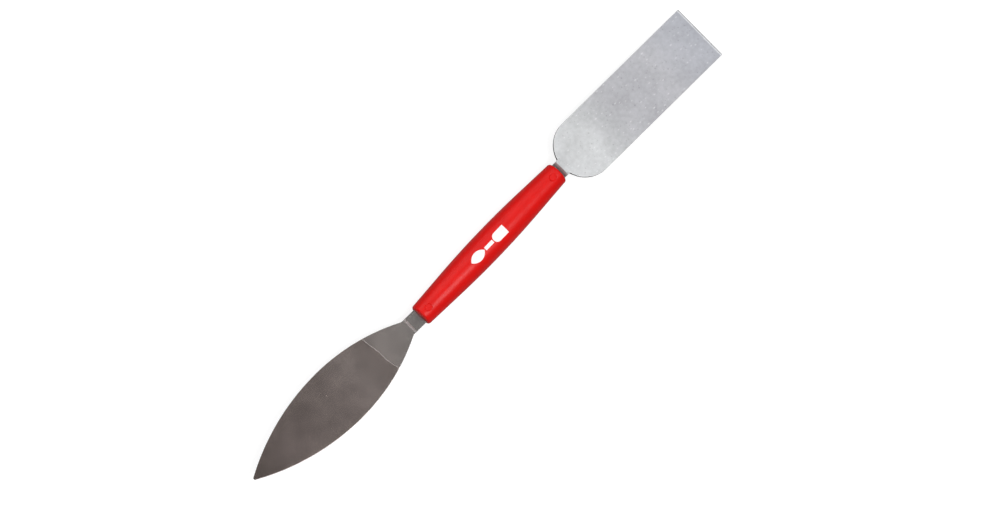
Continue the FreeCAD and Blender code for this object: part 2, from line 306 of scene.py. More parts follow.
def finish_edges(piece, width, sharp_from):
    """Rounds the edges that are sharper than an angle, and smooths the shading."""
    apply_modifier(piece, "BEVEL", width=width, segments=2, limit_method="ANGLE",
                   angle_limit=sharp_from, use_clamp_overlap=False, miter_outer="MITER_ARC")
    tidy_mesh(piece)


def tidy_mesh(piece):
    """Welds what the cuts left in slivers, turns the faces outwards and smooths the shading."""
    edit(piece)
    bpy.ops.mesh.select_all(action="SELECT")
    bpy.ops.mesh.remove_doubles(threshold=SAME_PLACE)
    bpy.ops.mesh.dissolve_degenerate(threshold=SAME_PLACE)
    bpy.ops.mesh.normals_make_consistent(inside=False)
    leave_edit_mode()
    piece.select_set(True)
    bpy.context.view_layer.objects.active = piece
    bpy.ops.object.shade_smooth_by_angle(angle=SMOOTH_BELOW)
    apply_modifier(piece, "WEIGHTED_NORMAL", keep_sharp=True, weight=80)


# ---------------------------------------------------------------- handle

def barrel(name, grown=0.0):
    """The handle's turned shape about the X axis: arched belly, tapering ends and rounded rims."""
    piece = start_piece(name)
    rim_turn = RIGHT_ANGLE - TAPER
    rim = Vector((-HALF_LENGTH, 0, END_RADIUS + grown))
    face_edge = rim - Vector((0, 0, END_ROUNDING * math.tan(rim_turn / 2)))
    rim_centre = face_edge + Vector((END_ROUNDING, 0, 0))
    belly_start = Vector((-BELLY_HALF, 0, BELLY_END_RADIUS + grown))
    belly_centre = Vector((0, 0, BARREL_RADIUS + grown - BELLY_ARC_RADIUS))
    across = Vector((0, 1, 0))
    draw(face_edge, [(rim_centre, rim_turn, across, 8), belly_start, (belly_centre, TAPER, across, 16)])
    apply_modifier(piece, "MIRROR", use_axis=(True, False, False), merge_threshold=SAME_PLACE)
    edit(piece)
    bpy.ops.mesh.select_all(action="SELECT")
    bpy.ops.mesh.spin(steps=TURNING_STEPS, angle=2 * math.pi, center=(0, 0, 0), axis=(1, 0, 0))
    bpy.ops.mesh.select_all(action="SELECT")
    bpy.ops.mesh.remove_doubles(threshold=WELD)
    for side in (-1, 1):
        pick("EDGE", lambda edge: edge.is_boundary and edge.verts[0].co.x * side > 0)
        bpy.ops.mesh.edge_face_add()
    bpy.ops.mesh.select_all(action="SELECT")
    bpy.ops.mesh.normals_make_consistent(inside=False)
    leave_edit_mode()
    return piece


def add_parting_line(piece):
    """Raises the fine ridge along both sides, where the two halves of the mould meet."""
    edit(piece)
    pick("EDGE", lambda edge: all(near(v.co.z, 0) and abs(v.co.y) > MM for v in edge.verts))
    bpy.ops.mesh.bevel(offset=PARTING_WIDTH / 2, segments=2, affect="EDGES")
    pick("VERT", lambda vert: near(vert.co.z, 0) and abs(vert.co.y) > MM)
    bpy.ops.transform.resize(value=(1, 1 + PARTING_RIDGE / BARREL_RADIUS, 1), center_override=(0, 0, 0))
    leave_edit_mode()


def moulding_mark(side):
    """Cuts a shallow round mark with a sloping wall into the crest near one end."""
    floor = END_RADIUS + MARK_INSET * math.tan(TAPER) - MARK_DEPTH
    piece = start_piece("moulding_mark")
    height = 4 * MARK_DEPTH
    low_radius = MARK_RADIUS - MARK_DEPTH / 2
    high_radius = MARK_RADIUS + height * MARK_WALL_SPREAD - MARK_DEPTH / 2
    bpy.ops.mesh.primitive_cone_add(vertices=DRILL_SIDES, radius1=low_radius, radius2=high_radius,
                                    depth=height,
                                    location=(side * (HALF_LENGTH - MARK_INSET), 0, floor + height / 2))
    leave_edit_mode()
    return piece


def tang_room(place):
    """The room that one tang fills in the plastic, round the anchor's pillar.

    There is a hair of clearance over, under and beside the tang. Its inner end and the pillar touch it.
    """
    piece = start_piece("tang_room")
    outside = MM
    bpy.ops.mesh.primitive_cube_add(
        size=1, location=((outside - TANG_LENGTH) / 2, 0, 0),
        scale=(TANG_LENGTH + outside, 2 * (HALF_NECK + SOCKET_CLEARANCE), STEEL + 2 * SOCKET_CLEARANCE))
    combine(piece, anchor_cutter(), "DIFFERENCE")
    set_in_place(piece, place)
    return piece


def moulded_handle(plastic):
    """The red moulding with its parting line, moulding marks and room for both tangs."""
    piece = barrel("handle_moulding")
    piece.data.materials.append(plastic)
    add_parting_line(piece)
    for side in (-1, 1):
        combine(piece, moulding_mark(side), "DIFFERENCE")
    set_in_place(piece, Matrix.Translation(HANDLE_CENTRE))
    for place in (LEAF_PLACE, SQUARE_PLACE):
        combine(piece, tang_room(place), "DIFFERENCE")
    finish_edges(piece, HANDLE_EDGE_ROUNDING, HANDLE_SHARP_FROM)
    return piece


# ---------------------------------------------------------------- printed pictogram

def ink_shape(name, start, moves):
    """A block of ink through the handle's crest, still to be cut to its thickness."""
    return half_outline_block(name, start, moves, BARREL_RADIUS - 2 * MM, BARREL_RADIUS + MM)


def ink_leaf(tip, root):
    """A pointed oval between two places along the handle."""
    half = (root - tip) / 2
    radius = (half ** 2 + INK_HALF_WIDTH ** 2) / (2 * INK_HALF_WIDTH)
    centre = Vector(((tip + root) / 2, INK_HALF_WIDTH - radius, 0))
    swing = -2 * math.asin(half / radius)
    return ink_shape("ink_leaf", Vector((tip, 0, 0)), [(centre, swing, Vector((0, 0, 1)), 24)])


def ink_square(root, tip):
    """A blade with a half-round root and a square tip."""
    centre = Vector((root + INK_HALF_WIDTH, 0, 0))
    moves = [(centre, -RIGHT_ANGLE, Vector((0, 0, 1)), 12),
             Vector((tip, INK_HALF_WIDTH, 0)), Vector((tip, 0, 0))]
    return ink_shape("ink_square", Vector((root, 0, 0)), moves)


def ink_bar(start, end, half_width):
    """The handle of the pictogram, a plain bar."""
    moves = [Vector((start, half_width, 0)), Vector((end, half_width, 0)), Vector((end, 0, 0))]
    return ink_shape("ink_bar", Vector((start, 0, 0)), moves)


def printed_pictogram(ink):
    """A small picture of the tool in white ink on the handle's crest."""
    shapes = [ink_leaf(*INK_LEAF_ENDS), ink_bar(*INK_BAR_ENDS, INK_BAR_HALF_WIDTH),
              ink_square(*INK_SQUARE_ENDS)]
    leave_edit_mode()
    for shape in shapes:
        shape.select_set(True)
    piece = shapes[0]
    bpy.context.view_layer.objects.active = piece
    bpy.ops.object.join()
    piece.name = "printed_pictogram"
    piece.data.name = piece.name
    piece.data.materials.append(ink)
    set_in_place(piece, Matrix.Translation(INK_CENTRE))
    combine(piece, barrel("ink_top", grown=INK_THICKNESS * INK_SHARE_ABOVE), "INTERSECT")
    combine(piece, barrel("ink_bottom", grown=-INK_THICKNESS * INK_SHARE_BELOW), "DIFFERENCE")
    set_in_place(piece, Matrix.Translation(HANDLE_CENTRE))
    tidy_mesh(piece)
    return piece


# ---------------------------------------------------------------- leaf

def leaf_moves():
    """Half of the leaf from above: tang, neck, hollow shoulder, rear arc, front arc and blunt tip."""
    up = Vector((0, 0, 1))
    half_width = LEAF_WIDTH / 2
    tip_centre = Vector((LEAF_LENGTH - LEAF_TIP_RADIUS, 0, 0))
    to_tip = tip_centre.x - LEAF_WIDEST
    front_radius = ((to_tip ** 2 + half_width ** 2 - LEAF_TIP_RADIUS ** 2)
                    / (2 * (half_width - LEAF_TIP_RADIUS)))
    front_centre = Vector((LEAF_WIDEST, half_width - front_radius, 0))
    front_swing = math.atan2(to_tip, -front_centre.y)
    shoulder_centre = Vector((LEAF_NECK, HALF_NECK + LEAF_SHOULDER_RADIUS, 0))
    to_widest = LEAF_WIDEST - LEAF_NECK
    rise = half_width - shoulder_centre.y
    rear_radius = ((to_widest ** 2 + rise ** 2 - LEAF_SHOULDER_RADIUS ** 2)
                   / (2 * (LEAF_SHOULDER_RADIUS + rise)))
    rear_centre = Vector((LEAF_WIDEST, half_width - rear_radius, 0))
    rear_swing = math.atan2(to_widest, shoulder_centre.y - rear_centre.y)
    return [Vector((-TANG_LENGTH, HALF_NECK, 0)), Vector((LEAF_NECK, HALF_NECK, 0)),
            (shoulder_centre, rear_swing, up, 8), (rear_centre, -rear_swing, up, 28),
            (front_centre, -front_swing, up, 36), (tip_centre, front_swing - RIGHT_ANGLE, up, 6)]


def leaf_side():
    """The leaf's side view: flat tang and neck, a small step up, and a blade that thins to the tip."""
    run = LEAF_STEP_HEIGHT / math.tan(LEAF_STEP_SLOPE)
    under = LEAF_STEP_START + STEEL * math.tan(LEAF_STEP_SLOPE / 2)
    face = HALF_STEEL + LEAF_STEP_HEIGHT
    tip_bottom = face - LEAF_GROUND_DROP - LEAF_TIP_THICKNESS
    low_bend, high_under = (under, -HALF_STEEL), (under + run, face - STEEL)
    low_hollow, high_bend = (LEAF_STEP_START, HALF_STEEL), (LEAF_STEP_START + run, face)
    corners = [(-TANG_LENGTH, -HALF_STEEL), low_bend, high_under, (LEAF_LENGTH, tip_bottom),
               (LEAF_LENGTH, face), high_bend, low_hollow, (-TANG_LENGTH, HALF_STEEL)]
    half_turn = math.tan(LEAF_STEP_SLOPE / 2)
    bends = [(low_hollow, BEND_INSIDE * half_turn), (high_under, BEND_INSIDE * half_turn),
             (high_bend, BEND_OUTSIDE * half_turn), (low_bend, BEND_OUTSIDE * half_turn)]
    return side_block("leaf_side", corners, bends)


def grinding_block():
    """What grinding takes off the leaf's front: a thin wedge whose rear edge wanders across the blade."""
    piece = start_piece("grinding_block")
    wander = random.Random(4)
    beyond, wide, steps = LEAF_LENGTH + 5 * MM, 16 * MM, 56
    points = [Vector((beyond, wide, 0))]
    for step in range(steps + 1):
        across = wide * (1 - 2 * step / steps)
        bow = -GRIND_SKEW * across + GRIND_WAVE_HEIGHT * math.sin(across / GRIND_WAVE_LENGTH)
        ragged = wander.uniform(-GRIND_RAGGED, GRIND_RAGGED) * MM
        points.append(Vector((LEAF_GROUND_FROM + bow + ragged, across, 0)))
    points.append(Vector((beyond, -wide, 0)))
    draw(points[0], points[1:])
    fill_outline()
    height, back = 2 * MM, 7 * MM
    thicken_face((0, 0, height))
    pick("VERT", lambda vert: near(vert.co.z, height) and vert.co.x < LEAF_WIDEST)
    bpy.ops.transform.translate(value=(-back, 0, 0))
    leave_edit_mode()
    start_height = HALF_STEEL + LEAF_STEP_HEIGHT - LEAF_GROUND_LEDGE
    slope = (LEAF_GROUND_DROP - LEAF_GROUND_LEDGE) / (LEAF_LENGTH - LEAF_GROUND_FROM)
    hinge = Matrix.Translation((LEAF_GROUND_FROM, 0, 0))
    tilt = hinge @ Matrix.Rotation(math.atan(slope), 4, "Y") @ hinge.inverted()
    set_in_place(piece, Matrix.Translation((0, 0, start_height)) @ tilt)
    return piece


def show_cut_edges(piece, cut):
    """Gives the stamped walls and the other steep faces, the steps' risers among them, their own dull
    finish, whose tones paint shade and highlight.
    """
    piece.data.materials.append(cut)
    for face in piece.data.polygons:
        if abs(face.normal.z) < STEEP:
            face.material_index = len(piece.data.materials) - 1


def leaf_blade(rolled, ground, burr, cut):
    """The stamped leaf: rolled steel at its rear, ground steel in front and a burr between them."""
    start = Vector((-TANG_LENGTH, 0, 0))
    piece = half_outline_block("leaf_steel_blade", start, leaf_moves(), -TALL, TALL)
    piece.data.materials.append(rolled)
    combine(piece, leaf_side(), "INTERSECT")
    combine(piece, anchor_cutter(), "DIFFERENCE")
    block = grinding_block()
    block.data.materials.append(ground)
    block.data.materials.append(burr)
    for face in block.data.polygons:
        face.material_index = 0 if abs(face.normal.z) > FLAT else 1
    combine(piece, block, "DIFFERENCE")
    set_in_place(piece, LEAF_PLACE)
    finish_edges(piece, EDGE_ROUNDING, BLADE_SHARP_FROM)
    show_cut_edges(piece, cut)
    return piece


# ---------------------------------------------------------------- square

def square_moves():
    """Half of the square blade from above: tang, neck, half-round root, straight side and square tip."""
    centre = Vector((SQUARE_NECK + SQUARE_HALF_WIDTH, 0, 0))
    neck_angle = math.asin(HALF_NECK / SQUARE_HALF_WIDTH)
    root = centre - Vector((SQUARE_HALF_WIDTH * math.cos(neck_angle), -HALF_NECK, 0))
    return [Vector((-TANG_LENGTH, HALF_NECK, 0)), root,
            (centre, neck_angle - RIGHT_ANGLE, Vector((0, 0, 1)), 40),
            Vector((SQUARE_LENGTH, SQUARE_HALF_WIDTH, 0)), Vector((SQUARE_LENGTH, 0, 0))]


def square_side():
    """The square's side view: a short neck, a high step, and a thinning blade that slopes to the table."""
    run = SQUARE_STEP_HEIGHT / math.tan(SQUARE_STEP_SLOPE)
    under = SQUARE_STEP_START + STEEL * math.tan(SQUARE_STEP_SLOPE / 2)
    face = HALF_STEEL + SQUARE_STEP_HEIGHT
    tip_bottom = -HANDLE_RADIUS
    tip_top = tip_bottom + SQUARE_TIP_THICKNESS
    bevel_start = SQUARE_LENGTH - SQUARE_BEVEL_LENGTH
    low_bend, high_under = (under, -HALF_STEEL), (under + run, face - STEEL)
    low_hollow, high_bend = (SQUARE_STEP_START, HALF_STEEL), (SQUARE_STEP_START + run, face)
    corners = [(-TANG_LENGTH, -HALF_STEEL), low_bend, high_under, (SQUARE_LENGTH, tip_bottom),
               (SQUARE_LENGTH, tip_top - SQUARE_BEVEL_DEPTH), (bevel_start, tip_top),
               high_bend, low_hollow, (-TANG_LENGTH, HALF_STEEL)]
    half_turn = math.tan(SQUARE_STEP_SLOPE / 2)
    bends = [(low_hollow, BEND_INSIDE * half_turn), (high_under, BEND_INSIDE * half_turn),
             (high_bend, BEND_OUTSIDE * half_turn), (low_bend, BEND_OUTSIDE * half_turn)]
    return side_block("square_side", corners, bends)


def square_blade(bare, cut):
    """The stamped square, in bare steel with dull cut edges."""
    start = Vector((-TANG_LENGTH, 0, 0))
    piece = half_outline_block("square_steel_blade", start, square_moves(), -TALL, TALL)
    piece.data.materials.append(bare)
    combine(piece, square_side(), "INTERSECT")
    combine(piece, anchor_cutter(), "DIFFERENCE")
    set_in_place(piece, SQUARE_PLACE)
    finish_edges(piece, EDGE_ROUNDING, BLADE_SHARP_FROM)
    show_cut_edges(piece, cut)
    return piece


# ---------------------------------------------------------------- shading groups

def add(tree, kind, inputs=None, **settings):
    """Adds a node, sets its properties, and fills its inputs with values or with other nodes' outputs."""
    made = tree.nodes.new(kind)
    for key, value in settings.items():
        setattr(made, key, value)
    for key, value in (inputs or {}).items():
        if isinstance(value, bpy.types.NodeSocket):
            tree.links.new(value, made.inputs[key])
        else:
            made.inputs[key].default_value = value
    return made


def math_node(tree, operation, first, second=0.0, clamp=False):
    """One sum of two values, as its output socket."""
    made = add(tree, "ShaderNodeMath", {0: first, 1: second}, operation=operation, use_clamp=clamp)
    return made.outputs[0]


def scale_and_add(tree, value, factor, start):
    """The value times a factor, plus a start."""
    made = add(tree, "ShaderNodeMath", {0: value, 1: factor, 2: start}, operation="MULTIPLY_ADD")
    return made.outputs[0]


def span(tree, value, low, high, to_low=0.0, to_high=1.0):
    """The value stretched from one range to another, and held inside it."""
    made = add(tree, "ShaderNodeMapRange", {"Value": value, "From Min": low, "From Max": high,
                                            "To Min": to_low, "To Max": to_high})
    return made.outputs["Result"]


def new_group(name, inputs, outputs):
    """A shader node group: inputs are (name, socket kind, default), outputs are (name, socket kind)."""
    tree = bpy.data.node_groups.new(name, "ShaderNodeTree")
    for socket_name, kind, default in inputs:
        made = tree.interface.new_socket(socket_name, in_out="INPUT", socket_type=kind)
        if default is not None:
            made.default_value = default
    for socket_name, kind in outputs:
        tree.interface.new_socket(socket_name, in_out="OUTPUT", socket_type=kind)
    return tree, tree.nodes.new("NodeGroupInput").outputs, tree.nodes.new("NodeGroupOutput").inputs


VECTOR, FLOAT = "NodeSocketVector", "NodeSocketFloat"


def fine_lines_group():
    """Lines left by rolling or grinding, drawn out along X."""
    tree, given, out = new_group("Fine lines", [("Vector", VECTOR, None), ("Per mm", FLOAT, 4.0),
                                                ("Stretch", FLOAT, 20.0)], [("Lines", FLOAT)])
    squeeze = add(tree, "ShaderNodeCombineXYZ", {"X": math_node(tree, "DIVIDE", 1.0, given["Stretch"]),
                                                 "Y": 1.0, "Z": 1.0})
    drawn = add(tree, "ShaderNodeVectorMath", {0: given["Vector"], 1: squeeze.outputs[0]},
                operation="MULTIPLY")
    noise = add(tree, "ShaderNodeTexNoise", {"Vector": drawn.outputs[0], "Scale": given["Per mm"],
                                             "Detail": 3.0, "Roughness": 0.65})
    tree.links.new(span(tree, noise.outputs["Fac"], 0.3, 0.7), out["Lines"])
    return tree


def scratches_group():
    """Sparse thin scratches along one direction, broken into short lengths."""
    tree, given, out = new_group("Scratches", [("Vector", VECTOR, None), ("Angle", FLOAT, 0.0),
                                               ("Per mm", FLOAT, 1.0), ("Amount", FLOAT, 0.2)],
                                 [("Mask", FLOAT)])
    turned = add(tree, "ShaderNodeVectorRotate", {"Vector": given["Vector"], "Angle": given["Angle"]},
                 rotation_type="Z_AXIS")
    drawn = add(tree, "ShaderNodeVectorMath", {0: turned.outputs[0], 1: (0.035, 1.0, 0.3)},
                operation="MULTIPLY")
    lines = add(tree, "ShaderNodeTexNoise", {"Vector": drawn.outputs[0], "Scale": given["Per mm"],
                                             "Detail": 1.0, "Distortion": 0.15})
    breaks = add(tree, "ShaderNodeTexNoise", {"Vector": turned.outputs[0], "Scale": 0.22, "Detail": 2.0})
    edge = math_node(tree, "SUBTRACT", 0.82, math_node(tree, "MULTIPLY", given["Amount"], 0.3))
    ridge = math_node(tree, "SUBTRACT", lines.outputs["Fac"], edge)
    thin = math_node(tree, "MULTIPLY", ridge, 18.0, clamp=True)
    part = span(tree, breaks.outputs["Fac"], 0.48, 0.58)
    tree.links.new(math_node(tree, "MULTIPLY", thin, part), out["Mask"])
    return tree


def specks_group():
    """Small round specks, scattered in some of the cells of a loose net."""
    tree, given, out = new_group("Specks", [("Vector", VECTOR, None), ("Per mm", FLOAT, 0.6),
                                            ("Amount", FLOAT, 0.2)], [("Mask", FLOAT)])
    cells = add(tree, "ShaderNodeTexVoronoi", {"Vector": given["Vector"], "Scale": given["Per mm"]})
    chance = add(tree, "ShaderNodeSeparateColor", {"Color": cells.outputs["Color"]})
    least = math_node(tree, "SUBTRACT", 1.0, given["Amount"])
    chosen = math_node(tree, "GREATER_THAN", chance.outputs["Red"], least)
    size = span(tree, chance.outputs["Green"], 0.0, 1.0, 0.12, 0.38)
    inside = math_node(tree, "SUBTRACT", 1.0, math_node(tree, "DIVIDE", cells.outputs["Distance"], size),
                       clamp=True)
    tree.links.new(math_node(tree, "MULTIPLY", chosen, inside), out["Mask"])
    return tree


def clouds_group():
    """Soft blotches of tone, from -1 to 1."""
    tree, given, out = new_group("Clouds", [("Vector", VECTOR, None), ("Per mm", FLOAT, 0.1),
                                            ("Detail", FLOAT, 4.0)], [("Tone", FLOAT)])
    noise = add(tree, "ShaderNodeTexNoise", {"Vector": given["Vector"], "Scale": given["Per mm"],
                                             "Detail": given["Detail"], "Roughness": 0.55})
    tree.links.new(span(tree, noise.outputs["Fac"], 0.3, 0.7, -1.0, 1.0), out["Tone"])
    return tree


def worn_edges_group():
    """How near a point is to a sharp edge of the piece, unevenly, as rubbing wears it."""
    tree, given, out = new_group("Worn edges", [("Vector", VECTOR, None), ("Reach", FLOAT, 0.4 * MM)],
                                 [("Mask", FLOAT)])
    rounded = add(tree, "ShaderNodeBevel", {"Radius": given["Reach"]}, samples=6)
    surface = add(tree, "ShaderNodeNewGeometry")
    same = add(tree, "ShaderNodeVectorMath", {0: rounded.outputs[0], 1: surface.outputs["True Normal"]},
               operation="DOT_PRODUCT")
    turned = math_node(tree, "SUBTRACT", 1.0, same.outputs["Value"])
    uneven = add(tree, "ShaderNodeTexNoise", {"Vector": given["Vector"], "Scale": 0.8, "Detail": 3.0})
    mask = span(tree, turned, 0.01, 0.12)
    patchy = span(tree, uneven.outputs["Fac"], 0.3, 0.6, 0.35, 1.0)
    tree.links.new(math_node(tree, "MULTIPLY", mask, patchy), out["Mask"])
    return tree


FINE_LINES = fine_lines_group()
SCRATCHES = scratches_group()
SPECKS = specks_group()
CLOUDS = clouds_group()
WORN_EDGES = worn_edges_group()


def effect(tree, group, **inputs):
    """One use of a shading group, with its own values, as its output socket."""
    named = {key.replace("_", " "): value for key, value in inputs.items()}
    return add(tree, "ShaderNodeGroup", named, node_tree=group).outputs[0]


# ---------------------------------------------------------------- materials

def new_material(name):
    """A material with its Principled shader, and the piece's own coordinates in millimetres."""
    material = bpy.data.materials.new(name)
    material.use_nodes = True
    tree = material.node_tree
    tree.nodes.clear()
    shader = add(tree, "ShaderNodeBsdfPrincipled")
    add(tree, "ShaderNodeOutputMaterial", {"Surface": shader.outputs[0]})
    return material, tree, shader


def own_place(tree, place):
    """Coordinates in millimetres in the frame that a piece was made in."""
    return add(tree, "ShaderNodeMapping", {
        "Vector": add(tree, "ShaderNodeTexCoord").outputs["Object"],
        "Location": place.to_translation(), "Rotation": place.to_euler(), "Scale": (MM, MM, MM),
    }, vector_type="TEXTURE").outputs[0]


def tone_along(tree, vector, length, tones):
    """A colour that changes along the blade; tones are (distance in mm, colour)."""
    along = add(tree, "ShaderNodeSeparateXYZ", {"Vector": vector}).outputs["X"]
    ramp = add(tree, "ShaderNodeValToRGB", {"Fac": span(tree, along, 0.0, length)})
    stops = ramp.color_ramp.elements
    for number, (distance, colour) in enumerate(tones):
        stop = stops[number] if number < 2 else stops.new(1.0)
        stop.position = distance / length
        stop.color = (*colour, 1.0)
    return ramp.outputs["Color"]


def mix(tree, amount, first, second, kind="MIX"):
    """Two colours mixed by an amount."""
    made = add(tree, "ShaderNodeMix", {0: amount, 6: first, 7: second}, data_type="RGBA", blend_type=kind)
    return made.outputs[2]


def grey(level):
    """A plain grey, as a colour for a socket."""
    return (level, level, level, 1.0)


def steel(name, place, tones, length, cloud=0.1, specks=0.15, roughness=0.4, lines=0.3, worn=0.35,
          dents=0.9, shine=0.4, mottle=0.5, uneven=0.03):
    """Bare steel: tone along the blade, blotches, fine lines, scratches, specks and rubbed edges."""
    material, tree, shader = new_material(name)
    vector = own_place(tree, place)
    colour = tone_along(tree, vector, length, tones)
    wide_clouds = effect(tree, CLOUDS, Vector=vector, Per_mm=0.07, Detail=2.5)
    small_clouds = effect(tree, CLOUDS, Vector=vector, Per_mm=0.5)
    blotches = math_node(tree, "ADD", wide_clouds, math_node(tree, "MULTIPLY", small_clouds, mottle))
    swell = effect(tree, CLOUDS, Vector=vector, Per_mm=0.14, Detail=1.0)
    grain = effect(tree, FINE_LINES, Vector=vector, Per_mm=2.4, Stretch=25.0)
    level = scale_and_add(tree, blotches, cloud, 1.0)
    level = math_node(tree, "ADD", level, math_node(tree, "MULTIPLY", grain, lines * 0.15))
    toned = add(tree, "ShaderNodeVectorMath", {0: colour, 3: level}, operation="SCALE").outputs[0]
    dark = effect(tree, SPECKS, Vector=vector, Per_mm=0.7, Amount=specks)
    shifted = add(tree, "ShaderNodeVectorMath", {0: vector, 1: (0.45, 1.0, 1.0), 2: (31.0, 17.0, 5.0)},
                  operation="MULTIPLY_ADD").outputs[0]
    bright = effect(tree, SPECKS, Vector=shifted, Per_mm=0.95, Amount=specks)
    long_scratches = effect(tree, SCRATCHES, Vector=vector, Angle=0.12, Per_mm=1.3, Amount=0.2)
    cross_scratches = effect(tree, SCRATCHES, Vector=shifted, Angle=-0.9, Per_mm=1.0, Amount=0.2)
    scratched = math_node(tree, "MAXIMUM", long_scratches, cross_scratches)
    rubbed = effect(tree, WORN_EDGES, Vector=vector, Reach=0.35 * MM)
    toned = mix(tree, math_node(tree, "MULTIPLY", dark, 0.4), toned, grey(0.12))
    toned = mix(tree, math_node(tree, "MULTIPLY", bright, shine), toned, grey(0.85))
    toned = mix(tree, math_node(tree, "MULTIPLY", scratched, shine), toned, grey(0.8))
    toned = mix(tree, math_node(tree, "MULTIPLY", rubbed, worn), toned, grey(0.85))
    tree.links.new(toned, shader.inputs["Base Color"])
    rough = scale_and_add(tree, swell, uneven, roughness)
    rough = math_node(tree, "SUBTRACT", rough, math_node(tree, "MULTIPLY", rubbed, 0.12))
    rough = math_node(tree, "ADD", rough, math_node(tree, "MULTIPLY", grain, 2 * uneven))
    tree.links.new(rough, shader.inputs["Roughness"])
    height = math_node(tree, "SUBTRACT", math_node(tree, "MULTIPLY", grain, lines),
                       math_node(tree, "MULTIPLY", scratched, 0.6))
    height = math_node(tree, "SUBTRACT", height, math_node(tree, "MULTIPLY", dark, 1.5))
    height = math_node(tree, "ADD", height, math_node(tree, "MULTIPLY", swell, dents))
    bump = add(tree, "ShaderNodeBump", {"Height": height, "Strength": 1.0, "Distance": 0.012 * MM})
    tree.links.new(bump.outputs[0], shader.inputs["Normal"])
    shader.inputs["Metallic"].default_value = 1.0
    return material


def rolled_leaf_steel_painted_dim_reflection():
    """The leaf's rear and neck, as the strip was rolled, in a low tone that paints the dim reflection the
    flat blade shows.
    """
    # Painted reflection: these tones are set low so that the flat leaf looks as dim as the dark studio it
    # mirrors.
    tones = [(0.0, (0.29, 0.275, 0.267)), (9.0, (0.32, 0.290, 0.275)), (30.0, (0.32, 0.282, 0.268))]
    return steel("rolled_leaf_steel_painted_dim_reflection", LEAF_PLACE, tones, 105.0, cloud=0.08, specks=0.1, roughness=0.24,
                 lines=0.08, worn=0.1, dents=0.15, shine=0.1, mottle=0.2, uneven=0.007)


def ground_leaf_steel_painted_dim_reflection():
    """The leaf's ground front, in a low tone that paints the dim reflection the flat blade shows, darker
    towards the tip.
    """
    # Painted reflection: tones set low so that the flat leaf looks as dim as the dark studio it mirrors,
    # and darker towards the tip.
    tones = [(25.0, (0.300, 0.252, 0.234)), (38.0, (0.345, 0.294, 0.276)), (50.0, (0.300, 0.252, 0.234)),
             (62.0, (0.270, 0.226, 0.209)), (85.0, (0.250, 0.205, 0.192)), (104.0, (0.180, 0.148, 0.134))]
    return steel("ground_leaf_steel_painted_dim_reflection", LEAF_PLACE, tones, 105.0, cloud=0.11, specks=0.1, roughness=0.22,
                 lines=0.08, worn=0.1, dents=0.15, shine=0.08, mottle=0.2, uneven=0.007)


def burr_steel():
    """The low wall where the grinding stops."""
    tones = [(0.0, (0.28, 0.255, 0.243)), (105.0, (0.28, 0.255, 0.243))]
    return steel("burr_steel", LEAF_PLACE, tones, 105.0, cloud=0.2, specks=0.3, worn=0.0, shine=0.1)


def square_steel():
    """The square's faces, toned with painted reflection: a dark neck, a bright root and a greyer front,
    and a painted highlight on the tip's bevel.
    """
    # Painted reflection: the neck and front are darker and the root brighter where the flat steel mirrors
    # dark and bright parts of the studio; the last stop paints a highlight on the tip's bevel.
    tones = [(0.0, (0.13, 0.125, 0.12)), (1.3, (0.14, 0.135, 0.13)), (2.2, (0.525, 0.532, 0.540)),
             (22.0, (0.495, 0.503, 0.510)), (40.0, (0.390, 0.390, 0.409)), (56.0, (0.383, 0.383, 0.405)),
             (66.0, (0.420, 0.420, 0.443)), (76.0, (0.375, 0.379, 0.407)), (91.5, (0.355, 0.363, 0.396)),
             (91.8, (0.62, 0.63, 0.65))]
    return steel("stamped_square_steel_painted_reflection", SQUARE_PLACE, tones, 92.6, cloud=0.1, specks=0.5, roughness=0.42,
                 dents=1.6, shine=0.5, mottle=0.8)


def cut_steel(name, place, tones, length):
    """A dull stamped edge, finely uneven where it was sheared."""
    material, tree, shader = new_material(name)
    vector = own_place(tree, place)
    streaks = effect(tree, FINE_LINES, Vector=vector, Per_mm=3.0, Stretch=1.0)
    clouds = effect(tree, CLOUDS, Vector=vector, Per_mm=0.6, Detail=3.0)
    level = scale_and_add(tree, clouds, 0.15, 0.9)
    level = math_node(tree, "ADD", level, math_node(tree, "MULTIPLY", streaks, 0.25))
    colour = tone_along(tree, vector, length, [(at, (tone, tone, tone)) for at, tone in tones])
    toned = add(tree, "ShaderNodeVectorMath", {0: colour, 3: level}, operation="SCALE").outputs[0]
    tree.links.new(toned, shader.inputs["Base Color"])
    tree.links.new(span(tree, streaks, 0.0, 1.0, 0.5, 0.62), shader.inputs["Roughness"])
    bump = add(tree, "ShaderNodeBump", {"Height": streaks, "Strength": 1.0, "Distance": 0.01 * MM})
    tree.links.new(bump.outputs[0], shader.inputs["Normal"])
    shader.inputs["Metallic"].default_value = 0.3
    return material


def leaf_cut_steel_painted_highlight():
    """The leaf's cut edges, with a painted highlight where they turn up at the step."""
    # Painted highlight: the step's riser, from 6.3 to 8.3 mm, is brighter than the other cut walls.
    tones = [(0.0, 0.2), (6.0, 0.2), (6.3, 0.5), (8.3, 0.5), (8.6, 0.2)]
    return cut_steel("leaf_cut_steel_painted_highlight", LEAF_PLACE, tones, 105.0)


def square_cut_steel_painted_light():
    """The square's cut edges: painted shade makes them nearly black round the root, and a painted
    highlight brightens the step's riser.
    """
    # Painted highlight on the step's riser, 1.4 to 2.4 mm; painted shade, nearly black, on the walls round
    # the root, 3 to 16 mm.
    tones = [(0.0, 0.12), (1.0, 0.18), (1.4, 0.5), (2.4, 0.5), (3.0, 0.03), (16.0, 0.03), (30.0, 0.1)]
    return cut_steel("square_cut_steel_painted_light", SQUARE_PLACE, tones, 92.6)


